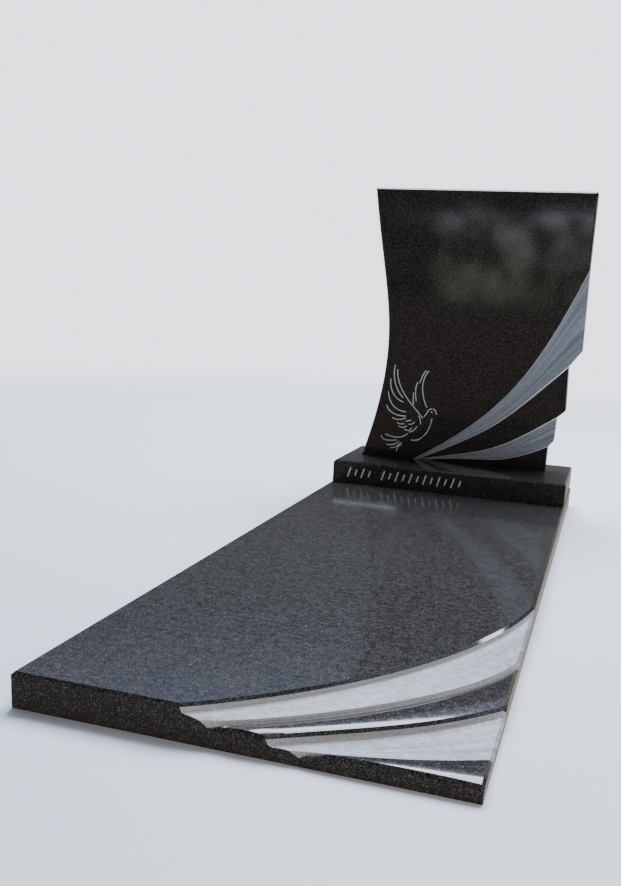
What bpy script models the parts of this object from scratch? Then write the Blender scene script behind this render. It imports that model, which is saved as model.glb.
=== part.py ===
"""Ledger memorial in black granite: a cover slab, a plinth and an upright tablet.

The cover slab lies flat over the grave. The plinth stands across its head end, and the tablet
stands on the plinth. The slab and the tablet carry the same carving: four bands, dull and
polished by turns, that sweep up from the foot edge to the right-hand side, each a step lower
than the one before. A dove is engraved low on the tablet, and a row of short strokes on the
plinth. Metres, +Z up. The origin is under the middle of the slab, and the foot end of the slab
points to -Y, so that the tablet and the strokes face -Y.
"""

from collections import namedtuple
from math import cos, pi, radians, sin, tan

import bmesh
import bpy
from mathutils import Matrix, Vector
from mathutils.geometry import interpolate_bezier

# Cover slab
SLAB_WIDTH = 0.760
SLAB_LENGTH = 2.130
SLAB_THICKNESS = 0.063

# Plinth, flush with the head end of the slab
PLINTH_DEPTH = 0.350
PLINTH_HEIGHT = 0.071
PLINTH_SIDE_MARGIN = 0.004

# Tablet: its outline is measured from the middle of its foot
TABLET_HEIGHT = 0.870
TABLET_THICKNESS = 0.090
TABLET_FRONT_MARGIN = 0.165
TOP_LEFT = 0.335
TOP_RIGHT = 0.357
WAIST_LEFT = 0.259
WAIST_HEIGHT = 0.375
FOOT_LEFT = 0.324
FOOT_RIGHT = 0.295
TOP_LEFT_LEAN = 9
FOOT_LEFT_LEAN = 17

# How far the left side's curves keep their direction, as shares of their heights: down from the
# top, up from the waist and up from the foot
TOP_REACH = 0.46
WAIST_REACH = 0.3
FOOT_REACH = 1 / 3

# The thin bed between two stones, and the bevels along the polished edges
BED = 0.0003
ARRIS = 0.005
STEP_ARRIS = 0.0025

# A sweep line is the upper edge of a band. It leaves the foot edge at the angle heading and
# reaches the right-hand side at the angle arrival, in degrees. A larger reach keeps both of
# its ends straighter.
Sweep = namedtuple("Sweep", "heading arrival reach")

# On the slab, a line starts this far along the foot edge from the right-hand side, and ends
# this far along the right-hand side from the foot edge.
SLAB_STARTS = (0.463, 0.408, 0.323, 0.250)
SLAB_ENDS = (0.728, 0.440, 0.256, 0.084)
SLAB_SWEEPS = (
    Sweep(heading=36, arrival=79, reach=0.34),
    Sweep(heading=28, arrival=72, reach=0.29),
    Sweep(heading=33, arrival=51, reach=0.38),
    Sweep(heading=12, arrival=27, reach=0.36),
)

# On the tablet, a line starts this far along the foot and ends at (across, up), both from the
# middle of the foot. Each band but the last runs out in a tip past the next sweep line.
TABLET_STARTS = (-0.147, -0.130, -0.121, -0.100)
TABLET_ENDS = ((0.3600, 0.641), (0.3310, 0.343), (0.3120, 0.178), (0.2945, 0.081))
TABLET_TIPS = ((0.367, 0.395), (0.338, 0.204), (0.311, 0.101))
TABLET_SWEEPS = (
    Sweep(heading=31.6, arrival=68.3, reach=0.42),
    Sweep(heading=26.5, arrival=45.5, reach=0.49),
    Sweep(heading=12.5, arrival=34.8, reach=0.51),
    Sweep(heading=8, arrival=27, reach=0.49),
)

# Depths of the slab's bands below its top, in their order across the carving
FIRST_DULL_HIGH = 0.015
FIRST_DULL_LOW = 0.021
FIRST_POLISHED = 0.0246
SECOND_DULL = 0.040
SECOND_POLISHED = 0.033
CROWN = 0.0015
TROUGH_DROP = 0.0085
TROUGH_WIDTH = 0.0095
TROUGH_DEEPEST = 0.45

# The most of the room between two sweep lines that an offset may take, past the upper line
# and before the lower one
MOST_PAST = 0.3
MOST_BEFORE = 0.5

# How far each band of the tablet is set back from the one before
TABLET_STEP = 0.010

# Slant of a step's face
DRAFT = 0.001

# How far a cutter stands clear of the stone: above it, past its right-hand side and past its
# foot edge. The tablet's lines meet soon below its foot, and its tips stand out at the side.
CLEAR = 0.02
Clear = namedtuple("Clear", "side foot")
SLAB_CLEAR = Clear(side=CLEAR, foot=CLEAR)
TABLET_CLEAR = Clear(side=0.05, foot=0.002)

# How fine the curves are
SWEEP_ROWS = 22
OUTLINE_STEPS = 10
STROKE_ROWS = 7

# Every engraved stroke swells to its full width by this power of a half wave, and its cutter
# stands out of the face by this share of its depth
STROKE_SWELL = 0.6
STROKE_CLEAR = 0.25
ENGRAVED_DEPTH = 0.0015

# The engraved dove is drawn on a grid of 100 squares to its height, from its lower left corner
DOVE_LEFT = -0.260
DOVE_FOOT = 0.023
DOVE_HEIGHT = 0.289
DOVE_STROKE = 0.0036
DOVE_NEAR_WING = (
    ((14, 95), (15, 69), (37, 55), (48, 41)),
    ((11, 100), (9, 89), (11, 74), (23, 63)),
    ((7, 84), (6, 74), (11, 61), (24, 58)),
    ((5, 69), (6, 60), (11, 47), (28, 47)),
    ((4, 53), (7, 46), (14, 41), (28, 42)),
    ((12, 39), (15, 37), (22, 36), (28, 40)),
    ((18, 34), (20, 32), (24, 32), (27, 33)),
    ((28, 36), (30, 36), (32, 37), (35, 38)),
    ((20, 30), (23, 28), (27, 28), (30, 31)),
    ((32, 33), (34, 32), (37, 34), (39, 36)),
    ((27, 27), (31, 24), (35, 26), (36, 29)),
    ((33, 24), (37, 24), (40, 27), (42, 31)),
)
DOVE_FAR_WING = (
    ((51, 96), (41, 85), (45, 65), (52, 54)),
    ((48, 96), (44, 93), (43, 86), (41, 81)),
    ((39, 82), (36, 76), (37, 67), (39, 60)),
    ((35, 70), (35, 64), (35, 60), (36, 56)),
)
DOVE_TAIL = (
    ((5, 19), (15, 15), (25, 15), (32, 22)),
    ((0, 17), (2, 11), (7, 11), (19, 13)),
    ((7, 7), (11, 6), (18, 7), (22, 12)),
    ((12, 3), (17, 3), (22, 7), (25, 11)),
    ((20, 0), (20, 4), (22, 7), (26, 9)),
)
DOVE_BODY = (
    ((49, 43), (53, 46), (53, 53), (58, 53)),
    ((59, 53), (62, 53), (63, 50), (64, 47)),
    ((57, 49), (57.6, 49.4), (58.2, 49.4), (58.8, 49)),
    ((59, 42), (58, 35), (57, 27), (50, 20)),
    ((49, 19), (45, 15), (40, 14), (36, 15)),
    ((43, 44), (45, 41), (46, 38), (46, 34)),
)

# The row of strokes on the plinth's front, whose every second stroke is a short one
ROW_LEFT = -0.332
ROW_MIDDLE = 0.036
ROW_HEIGHT = 0.032
ROW_PITCH = 0.023
ROW_GROUPS = (4, 12)
ROW_LEAN = 0.009
ROW_STROKE = 0.0045
SHORT_STROKE = 0.64

POLISHED, DULL = 0, 1

# One point of the carving's cross-section, offset past a sweep line, or between two of them
# where line isn't whole. finish is that of the strip from here to the next point. foot and side
# say whether the point drops by an arris on the foot edge and on the right-hand side.
Station = namedtuple("Station", "line offset depth finish foot side")


def clear_scene():
    for obj in list(bpy.data.objects):
        bpy.data.objects.remove(obj, do_unlink=True)


def collection(name):
    made = bpy.data.collections.new(name)
    bpy.context.scene.collection.children.link(made)
    return made


def granite(name, colour, roughness):
    material = bpy.data.materials.new(name)
    material.use_nodes = True
    shader = material.node_tree.nodes["Principled BSDF"]
    shader.inputs["Base Color"].default_value = (*colour, 1)
    shader.inputs["Roughness"].default_value = roughness
    shader.inputs["Metallic"].default_value = 0
    material.diffuse_color = (*colour, 1)
    return material


def add_object(name, mesh, group, materials):
    obj = bpy.data.objects.new(name, mesh)
    mesh.materials.clear()
    for material in materials:
        mesh.materials.append(material)
    group.objects.link(obj)
    return obj


def mesh_from(name, solid):
    bmesh.ops.recalc_face_normals(solid, faces=solid.faces)
    mesh = bpy.data.meshes.new(name)
    solid.to_mesh(mesh)
    solid.free()
    return mesh


def block(name, size, group, materials):
    """A box that stands on its object's origin."""
    solid = bmesh.new()
    bmesh.ops.create_cube(solid, size=1)
    bmesh.ops.scale(solid, vec=size, verts=solid.verts)
    bmesh.ops.translate(solid, vec=(0, 0, size[2] / 2), verts=solid.verts)
    return add_object(name, mesh_from(name, solid), group, materials)


def bevel_where(obj, wanted):
    """Bevels the edges whose two ends both pass the test."""
    mesh = obj.data
    weights = mesh.attributes.new("bevel_weight_edge", "FLOAT", "EDGE")
    for edge in mesh.edges:
        ends = [mesh.vertices[i].co for i in edge.vertices]
        weights.data[edge.index].value = float(all(wanted(end) for end in ends))
    bevel = obj.modifiers.new("Arris", "BEVEL")
    bevel.limit_method = "WEIGHT"
    bevel.width = ARRIS
    bevel.segments = 1


def cut(obj, cutter):
    boolean = obj.modifiers.new(cutter.name, "BOOLEAN")
    boolean.operation = "DIFFERENCE"
    boolean.solver = "EXACT"
    boolean.use_self = True
    boolean.material_mode = "INDEX"
    boolean.object = cutter
    cutter.hide_render = True
    cutter.display_type = "WIRE"


def heading_to(degrees):
    return Vector((cos(radians(degrees)), sin(radians(degrees))))


def sweep_line(start, end, sweep, clear):
    """(points, slopes) from before the foot edge to past the far end.

    The line is straight for an arris's width inside each end, where the edge bevels lie.
    """
    leaving, arriving = heading_to(sweep.heading), heading_to(sweep.arrival)
    first = start + leaving * (ARRIS / leaving.y)
    last = end - arriving * (ARRIS / arriving.x)
    reach = (last - first).length * sweep.reach
    bend = interpolate_bezier(
        first, first + leaving * reach, last - arriving * reach, last, SWEEP_ROWS
    )
    before = start - leaving * (clear.foot / leaving.y)
    after = end + arriving * (clear.side / arriving.x)
    points = [before, start, *[Vector(point) for point in bend], end, after]
    inner = [(b - a).normalized() for a, b in zip(points[2:], points[4:-1])]
    slopes = [leaving] * 3 + inner[:-1] + [arriving] * 3
    return points, slopes


def corner_line(corner, inset, clear):
    """The lower right corner as a sweep line of no length, with its bevels' own corner."""
    outside = corner + Vector((clear.side, -clear.foot))
    inner = corner + Vector((-inset, inset))
    rows = [outside, corner, *[inner] * SWEEP_ROWS, corner, outside]
    return rows, [heading_to(45)] * len(rows)


def station_point(lines, station, row, turn):
    """Where a station lies in one row of the carving, which runs in the direction turn."""
    low = int(station.line)
    here = lines[low][0][row]
    if station.line > low:
        return here.lerp(lines[low + 1][0][row], station.line - low)
    slope = lines[low][1][row]
    shift = station.offset / abs(turn.cross(slope))
    if station.offset > 0:
        room = (lines[low + 1][0][row] - here).length
        shift = min(shift, room * MOST_PAST)
    elif station.offset < 0 and low > 0:
        room = (lines[low - 1][0][row] - here).length
        shift = max(shift, room * -MOST_BEFORE)
    return here + turn * shift


def carving(name, lines, stations, clear, place, group, materials):
    """The cutter that takes away all the stone above the bands.

    Its floor is a loft. Each row is the cross-section at one place along the sweep lines, from
    the row clear of the foot edge to the row clear of the right-hand side. place turns
    (across, up, depth) into a point.
    """
    last = len(lines[0][0]) - 1
    foot_drop = {0: clear.foot + ARRIS, 1: ARRIS}
    side_drop = {last: clear.side + ARRIS, last - 1: ARRIS}
    solid = bmesh.new()
    made = {}
    grid = []
    for row in range(last + 1):
        bend = min(max((row - 2) / (last - 4), 0), 1) * pi / 2
        turn = Vector((cos(bend), -sin(bend)))
        points = []
        for station in stations:
            flat = station_point(lines, station, row, turn)
            drop = station.foot * foot_drop.get(row, 0) + station.side * side_drop.get(row, 0)
            point = place(flat.x, flat.y, station.depth + drop)
            key = tuple(round(value, 7) for value in point)
            if key not in made:
                made[key] = solid.verts.new(point)
            points.append(made[key])
        grid.append(points)
    for near, far in zip(grid, grid[1:]):
        for k, station in enumerate(stations[:-1]):
            ring = dict.fromkeys((near[k], near[k + 1], far[k + 1], far[k]))
            solid.faces.new(ring).material_index = station.finish
    rim = [edge for edge in solid.edges if edge.is_boundary]
    walls = bmesh.ops.extrude_edge_only(solid, edges=rim)["geom"]
    outward = place(0, 0, -1) - place(0, 0, 0)
    level = outward.dot(place(0, 0, -2 * CLEAR))
    for vertex in walls:
        if isinstance(vertex, bmesh.types.BMVert):
            vertex.co += outward * (level - outward.dot(vertex.co))
    rim = [edge for edge in solid.edges if edge.is_boundary]
    bmesh.ops.holes_fill(solid, edges=rim)
    return add_object(name, mesh_from(name, solid), group, materials)


def stroke_cutter(name, strokes, width, depth, place, group, materials):
    """One cutter for many V-shaped strokes, each a curve that tapers to a point at both ends.

    A stroke is (start, handle, handle, end), as (across, up).
    """
    solid = bmesh.new()
    clear = depth * STROKE_CLEAR
    for knots in strokes:
        path = interpolate_bezier(*[Vector(knot) for knot in knots], STROKE_ROWS)
        rings = []
        for i, point in enumerate(path):
            swell = sin(pi * (i + 0.5) / STROKE_ROWS) ** STROKE_SWELL
            half = 0.5 * width * swell
            low = depth * swell
            near = path[max(i - 1, 0)]
            far = path[min(i + 1, len(path) - 1)]
            across = (far - near).orthogonal().normalized()
            spread = half * (1 + clear / low)
            left = point + across * spread
            right = point - across * spread
            corners = ((left, -clear), (point, low), (right, -clear))
            rings.append([solid.verts.new(place(at.x, at.y, down)) for at, down in corners])
        for near, far in zip(rings, rings[1:]):
            for k in range(3):
                solid.faces.new((near[k], near[k - 1], far[k - 1], far[k]))
        solid.faces.new(rings[0])
        solid.faces.new(rings[-1])
    mesh = mesh_from(name, solid)
    for face in mesh.polygons:
        face.material_index = DULL
    return add_object(name, mesh, group, materials)


def dove_strokes():
    size = DOVE_HEIGHT / 100
    corner = Vector((DOVE_LEFT, DOVE_FOOT))
    drawn = DOVE_NEAR_WING + DOVE_FAR_WING + DOVE_TAIL + DOVE_BODY
    return [[corner + Vector(knot) * size for knot in knots] for knots in drawn]


def row_strokes():
    """Slanted strokes, tall and short by turns, in groups with one place left empty between."""
    strokes = []
    across = ROW_LEFT
    for group in ROW_GROUPS:
        for i in range(group):
            size = SHORT_STROKE if i % 2 else 1
            half = Vector((ROW_LEAN, ROW_HEIGHT)) * size / 2
            middle = Vector((across + ROW_PITCH / 2, ROW_MIDDLE))
            strokes.append([middle + half * share for share in (-1, -1 / 3, 1 / 3, 1)])
            across += ROW_PITCH
        across += ROW_PITCH
    return strokes


def make_slab(parts, cutters, materials):
    slab = block("cover_slab", (SLAB_WIDTH, SLAB_LENGTH, SLAB_THICKNESS), parts, materials)
    bevel_where(slab, lambda end: end.z > SLAB_THICKNESS / 2)
    lines = []
    for along, up, sweep in zip(SLAB_STARTS, SLAB_ENDS, SLAB_SWEEPS):
        start = Vector((SLAB_WIDTH - along, 0))
        end = Vector((SLAB_WIDTH, up))
        lines.append(sweep_line(start, end, sweep, SLAB_CLEAR))
    lines.append(corner_line(Vector((SLAB_WIDTH, 0)), ARRIS, SLAB_CLEAR))
    trough = TROUGH_WIDTH * TROUGH_DEEPEST
    stations = (
        Station(0, -ARRIS - CLEAR, -CLEAR, POLISHED, 0, 0),
        Station(0, 0, ARRIS, DULL, 0, 0),
        Station(0, DRAFT, FIRST_DULL_HIGH, DULL, 0, 1),
        Station(1, -TROUGH_WIDTH, FIRST_DULL_LOW, DULL, 0, 1),
        Station(1, -trough, FIRST_DULL_LOW + TROUGH_DROP, POLISHED, 0, 1),
        Station(1, 0, FIRST_POLISHED + CROWN, POLISHED, 1, 1),
        Station(1.5, 0, FIRST_POLISHED - CROWN, POLISHED, 1, 1),
        Station(2, -ARRIS, FIRST_POLISHED, POLISHED, 1, 1),
        Station(2, 0, FIRST_POLISHED + ARRIS, DULL, 0, 1),
        Station(2, DRAFT, SECOND_DULL, DULL, 0, 1),
        Station(3, -TROUGH_WIDTH, SECOND_DULL, DULL, 0, 1),
        Station(3, -trough, SECOND_DULL + TROUGH_DROP, POLISHED, 0, 1),
        Station(3, 0, SECOND_POLISHED + CROWN, POLISHED, 1, 1),
        Station(4, 0, SECOND_POLISHED, POLISHED, 1, 1),
    )

    def place(across, up, depth):
        return Vector((across - SLAB_WIDTH / 2, up - SLAB_LENGTH / 2, SLAB_THICKNESS - depth))

    cut(slab, carving("slab_carving", lines, stations, SLAB_CLEAR, place, cutters, materials))
    return slab


def make_plinth(parts, cutters, materials, foot_height, front):
    width = SLAB_WIDTH - 2 * PLINTH_SIDE_MARGIN
    plinth = block("plinth", (width, PLINTH_DEPTH, PLINTH_HEIGHT), parts, materials)
    plinth.location = (0, front + PLINTH_DEPTH / 2, foot_height)
    bevel_where(plinth, lambda end: end.z > PLINTH_HEIGHT / 2)

    def place(across, up, depth):
        return Vector((across, front + depth, foot_height + up))

    row = stroke_cutter(
        "plinth_strokes", row_strokes(), ROW_STROKE, ENGRAVED_DEPTH, place, cutters, materials
    )
    cut(plinth, row)
    return plinth


def tablet_outline():
    """The knots of the outline as (point, handle before, handle after), from the top left.

    A handle of None is a straight side.
    """
    upper = TABLET_HEIGHT - WAIST_HEIGHT
    low_reach = WAIST_HEIGHT * FOOT_REACH
    high_reach = upper * TOP_REACH
    waist_reach = upper * WAIST_REACH
    lean = high_reach * tan(radians(TOP_LEFT_LEAN))
    foot_lean = low_reach * tan(radians(FOOT_LEFT_LEAN))
    top = (-TOP_LEFT, TABLET_HEIGHT)
    waist = (-WAIST_LEFT, WAIST_HEIGHT)
    foot = (-FOOT_LEFT, 0)
    knots = [
        (top, None, (lean - TOP_LEFT, TABLET_HEIGHT - high_reach)),
        (waist, (-WAIST_LEFT, WAIST_HEIGHT + waist_reach), (-WAIST_LEFT, WAIST_HEIGHT - low_reach)),
        (foot, (foot_lean - FOOT_LEFT, low_reach), None),
        ((FOOT_RIGHT, 0), None, None),
    ]
    for end, tip in zip(TABLET_ENDS[:0:-1], TABLET_TIPS[::-1]):
        knots += [(end, None, None), (tip, None, None)]
    knots += [(TABLET_ENDS[0], None, None), ((TOP_RIGHT, TABLET_HEIGHT), None, None)]
    return knots


def flat_stone(name, knots, thickness, group, materials):
    """A stone cut from a flat outline, front towards -Y, standing on z = 0."""
    curve = bpy.data.curves.new(name, "CURVE")
    curve.dimensions = "2D"
    curve.fill_mode = "BOTH"
    curve.extrude = thickness / 2
    curve.resolution_u = OUTLINE_STEPS
    spline = curve.splines.new("BEZIER")
    spline.bezier_points.add(len(knots) - 1)
    spline.use_cyclic_u = True
    for point, (place, before, after) in zip(spline.bezier_points, knots):
        point.co = (*place, 0)
        point.handle_left_type = "FREE" if before else "VECTOR"
        point.handle_right_type = "FREE" if after else "VECTOR"
        if before:
            point.handle_left = (*before, 0)
        if after:
            point.handle_right = (*after, 0)
    drawn = bpy.data.objects.new(name + "_outline", curve)
    drawn.matrix_world = Matrix.Rotation(pi / 2, 4, "X")
    group.objects.link(drawn)
    bpy.context.view_layer.update()
    mesh = bpy.data.meshes.new_from_object(drawn.evaluated_get(bpy.context.evaluated_depsgraph_get()))
    mesh.transform(drawn.matrix_world)
    bpy.data.objects.remove(drawn, do_unlink=True)
    solid = bmesh.new()
    solid.from_mesh(mesh)
    bmesh.ops.remove_doubles(solid, verts=solid.verts, dist=1e-5)
    bmesh.ops.dissolve_limit(
        solid, angle_limit=radians(0.5), verts=solid.verts, edges=solid.edges
    )
    return add_object(name, mesh_from(name, solid), group, materials)


def make_tablet(parts, cutters, materials, foot_height, front):
    tablet = flat_stone("tablet", tablet_outline(), TABLET_THICKNESS, parts, materials)
    tablet.location = (0, front + TABLET_THICKNESS / 2, foot_height)
    face = -TABLET_THICKNESS / 2

    def on_face(end):
        return end.y < face + ARRIS / 2 and end.z > ARRIS

    bevel_where(tablet, on_face)
    lines = []
    for along, end, sweep in zip(TABLET_STARTS, TABLET_ENDS, TABLET_SWEEPS):
        lines.append(sweep_line(Vector((along, 0)), Vector(end), sweep, TABLET_CLEAR))
    lines.append(corner_line(Vector((FOOT_RIGHT, 0)), 0, TABLET_CLEAR))
    stations = [Station(0, -ARRIS - CLEAR, -CLEAR, POLISHED, 0, 0), Station(0, 0, ARRIS, DULL, 0, 0)]
    for line, finish in enumerate((DULL, POLISHED, DULL, POLISHED)):
        level = TABLET_STEP * (line + 1)
        stations.append(Station(line, DRAFT, level, finish, 0, 0))
        if line < 3:
            stations.append(Station(line + 1, -STEP_ARRIS, level, finish, 0, 0))
            stations.append(Station(line + 1, 0, level + STEP_ARRIS, DULL, 0, 0))
    stations.append(Station(4, 0, TABLET_STEP * 4, POLISHED, 0, 0))

    def place(across, up, depth):
        return Vector((across, front + depth, foot_height + up))

    cut(tablet, carving("tablet_carving", lines, stations, TABLET_CLEAR, place, cutters, materials))
    dove = stroke_cutter(
        "dove", dove_strokes(), DOVE_STROKE, ENGRAVED_DEPTH, place, cutters, materials
    )
    cut(tablet, dove)
    return tablet


def main():
    clear_scene()
    parts = collection("ledger_memorial")
    cutters = collection("cutters")
    polished = granite("polished_granite", (0.020, 0.020, 0.023), 0.12)
    dull = granite("dull_granite", (0.42, 0.45, 0.48), 0.6)
    materials = (polished, dull)
    plinth_foot = SLAB_THICKNESS + BED
    plinth_front = SLAB_LENGTH / 2 - PLINTH_DEPTH
    tablet_foot = plinth_foot + PLINTH_HEIGHT + BED
    make_slab(parts, cutters, materials)
    make_plinth(parts, cutters, materials, plinth_foot, plinth_front)
    make_tablet(parts, cutters, materials, tablet_foot, plinth_front + TABLET_FRONT_MARGIN)


main()
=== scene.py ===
# %% [markdown]
# # A ledger memorial in polished black granite
#
# Three stones make the memorial: a flat cover slab, a low plinth across its head end, and an
# upright tablet that stands on the plinth. The slab and the tablet carry the same ornament, a
# fan of four bands, dull and polished by turns, that sweeps up from the foot edge to the
# right-hand side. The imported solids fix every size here. This script gives each stone its fine
# edges, its engraving and its finish.

from collections import namedtuple
from math import cos, pi, radians, sin, sqrt, tan

import bmesh
import bpy
from mathutils import Matrix, Vector
from mathutils.geometry import interpolate_bezier


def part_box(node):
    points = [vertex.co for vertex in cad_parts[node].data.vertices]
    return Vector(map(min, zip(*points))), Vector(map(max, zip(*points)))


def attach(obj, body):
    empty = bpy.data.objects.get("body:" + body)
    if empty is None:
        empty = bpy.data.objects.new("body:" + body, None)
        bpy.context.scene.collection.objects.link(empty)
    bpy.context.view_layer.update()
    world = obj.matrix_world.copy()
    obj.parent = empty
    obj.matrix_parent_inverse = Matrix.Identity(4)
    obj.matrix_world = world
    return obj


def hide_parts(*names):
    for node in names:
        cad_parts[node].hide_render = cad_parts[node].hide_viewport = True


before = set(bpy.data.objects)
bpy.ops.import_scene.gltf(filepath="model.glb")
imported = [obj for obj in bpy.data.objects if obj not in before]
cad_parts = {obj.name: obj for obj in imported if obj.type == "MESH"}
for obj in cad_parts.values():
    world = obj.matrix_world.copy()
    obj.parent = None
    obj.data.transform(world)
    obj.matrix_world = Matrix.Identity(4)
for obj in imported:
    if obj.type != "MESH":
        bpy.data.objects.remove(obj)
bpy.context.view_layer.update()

# %% [markdown]
# The stones' own boxes give the widths and heights that the pieces below must fill. A bed of
# mortar shows as the small gap between one box and the next.

# %% Read the sizes of the stones
slab_low, slab_high = (Vector(corner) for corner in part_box("cover_slab"))
plinth_low, plinth_high = (Vector(corner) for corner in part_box("plinth"))
tablet_low, tablet_high = (Vector(corner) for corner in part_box("tablet"))
SLAB_WIDTH = slab_high.x - slab_low.x
TABLET_THICKNESS = tablet_high.y - tablet_low.y
TABLET_HEIGHT = tablet_high.z - tablet_low.z
print("slab", (slab_high - slab_low)[:], "plinth", (plinth_high - plinth_low)[:])
print("tablet", (tablet_high - tablet_low)[:])

# %% [markdown]
# ## The finishes
#
# Every finish is a tree of nodes. A tree stays readable in a script when each node's inputs
# stand beside it, so these helpers add a node and set or link its inputs in one line. An effect
# that several finishes share becomes a group, which has named sockets of its own.

# %% Helpers for node trees
FLOAT, INTEGER, VECTOR, COLOUR, GEOMETRY, MATERIAL = (
    "NodeSocket" + kind for kind in ("Float", "Int", "Vector", "Color", "Geometry", "Material")
)


def feed(tree, made, inputs):
    """Fills a node's inputs, each with a value or with the socket that feeds it."""
    for name, value in inputs.items():
        if isinstance(value, bpy.types.NodeSocket):
            tree.links.new(value, made.inputs[name])
        else:
            made.inputs[name].default_value = value


def node(tree, kind, place, inputs=None, **settings):
    made = tree.nodes.new(kind)
    made.location = place
    for name, value in settings.items():
        setattr(made, name, value)
    feed(tree, made, inputs or {})
    return made


def maths(tree, place, operation, *values):
    made = node(tree, "ShaderNodeMath", place, dict(enumerate(values)), operation=operation)
    return made.outputs[0]


def scaled(tree, place, vector, scale):
    inputs = {0: vector, "Scale": scale}
    return node(tree, "ShaderNodeVectorMath", place, inputs, operation="SCALE").outputs[0]


def remap(tree, place, value, span, to=(0, 1), **settings):
    """Turns the span of a value into another span. What lies outside is held at its ends."""
    inputs = {
        "Value": value, "From Min": span[0], "From Max": span[1], "To Min": to[0], "To Max": to[1]
    }
    return node(tree, "ShaderNodeMapRange", place, inputs, **settings).outputs["Result"]


def noise(tree, place, vector, scale, detail, roughness=0.5):
    inputs = {"Vector": vector, "Scale": scale, "Detail": detail, "Roughness": roughness}
    return node(tree, "ShaderNodeTexNoise", place, inputs).outputs["Fac"]


def mixed_colour(tree, place, factor, first, second):
    inputs = {"Factor": factor, 6: first, 7: second}
    return node(tree, "ShaderNodeMix", place, inputs, data_type="RGBA").outputs[2]


def new_group(name, kind, inputs, outputs):
    """A node group with named sockets. Returns it with the sockets that its inputs come from."""
    tree = bpy.data.node_groups.new(name, kind)
    for side, sockets in (("INPUT", inputs), ("OUTPUT", outputs)):
        for socket_name, socket_kind in sockets.items():
            tree.interface.new_socket(socket_name, in_out=side, socket_type=socket_kind)
    print("group:", name, "inputs", list(inputs), "outputs", list(outputs))
    return tree, node(tree, "NodeGroupInput", (-900, 0)).outputs


# %% [markdown]
# Black granite is a dark ground of crystals with pale flecks between them. The same grain shows
# in every finish, so it is a group of its own. Voronoi cells are the crystals, and the few that
# a threshold picks are pale. A coarser noise adds a faint veil. The group reads object
# coordinates, so that the grain runs through the stone in real millimetres and meets itself at
# every edge.

# %% The grain of the granite
CLOUD_SCALE = 0.3
VEIL_SPAN, VEIL_MOST = (0.35, 0.75), 0.30


def granite_grain():
    """A group with the ground colour, a mask of pale flecks and the height of the crystals."""
    tree, given = new_group(
        "Granite grain", "ShaderNodeTree",
        {"Vector": VECTOR, "Dark": COLOUR, "Pale": COLOUR, "Crystal size": FLOAT, "Flecks": FLOAT},
        {"Color": COLOUR, "Fleck": FLOAT, "Height": FLOAT},
    )
    scale = maths(tree, (-700, -200), "DIVIDE", 1, given["Crystal size"])
    crystals = node(
        tree, "ShaderNodeTexVoronoi", (-500, 100),
        {"Vector": given["Vector"], "Scale": scale, "Randomness": 1}, feature="F1",
    )
    broad = maths(tree, (-700, -400), "MULTIPLY", scale, CLOUD_SCALE)
    clouds = noise(tree, (-500, -300), given["Vector"], broad, detail=3, roughness=0.6)
    pick = node(
        tree, "ShaderNodeSeparateColor", (-300, 200), {"Color": crystals.outputs["Color"]}
    ).outputs
    chosen = maths(tree, (-100, 200), "LESS_THAN", pick[0], given["Flecks"])
    bright = maths(tree, (100, 200), "MULTIPLY", chosen, pick[1])
    veil = remap(tree, (-100, -300), clouds, VEIL_SPAN, to=(0, VEIL_MOST))
    fleck = maths(tree, (300, 0), "MAXIMUM", bright, veil)
    colour = mixed_colour(tree, (500, 200), fleck, given["Dark"], given["Pale"])
    node(tree, "NodeGroupOutput", (700, 0), {"Color": colour, "Fleck": fleck, "Height": clouds})
    return tree


GRAIN = granite_grain()

# %% [markdown]
# Each finish is then a Principled shader with the grain's colour, its own roughness and a
# little relief from the crystals. The strength of the relief is a plain number on the Bump node.

# %% A granite finish
CRYSTAL_SIZE = 0.0015
CRYSTAL_HEIGHT = 0.0003


def granite(name, dark, pale, roughness, bump, flecks=0.3):
    """Makes a granite material. Returns its tree, its shader and the grain's colour."""
    material = bpy.data.materials.new(name)
    material.use_nodes = True
    tree = material.node_tree
    shader = tree.nodes["Principled BSDF"]
    place = node(tree, "ShaderNodeTexCoord", (-900, 0))
    grain = node(tree, "ShaderNodeGroup", (-600, 0), {
        "Vector": place.outputs["Object"], "Dark": (*dark, 1), "Pale": (*pale, 1),
        "Crystal size": CRYSTAL_SIZE, "Flecks": flecks,
    }, node_tree=GRAIN).outputs
    relief = node(tree, "ShaderNodeBump", (-300, -300), {
        "Strength": bump, "Distance": CRYSTAL_HEIGHT, "Height": grain["Height"],
    })
    feed(tree, shader, {
        "Base Color": grain["Color"], "Roughness": roughness, "Normal": relief.outputs["Normal"],
    })
    print("material:", name)
    return tree, shader, grain["Color"]


# %% [markdown]
# Stone outdoors carries a thin film of dust wherever it faces up. On the real slab it is cloudy
# and wiped into faint streaks. It could be painted as an image, but two noises, one of them
# stretched and turned, give it to every stone alike, and the height of the surface's normal
# keeps it off the upright faces. On the dull bands the film's colour is pale and bluish, so there
# it is partly dust and partly painted skylight, which lightens the tops that face up.

# %% The film of dust and painted skylight
FACING_UP = (0.75, 0.97)
WIPED_TURN, WIPED_SCALE = radians(25), (8, 90, 1)
STREAK_SHARE = 0.35
FILM_SPAN, FILM_THICKNESS = (0.56, 0.82), (0.2, 1.9)


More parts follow.
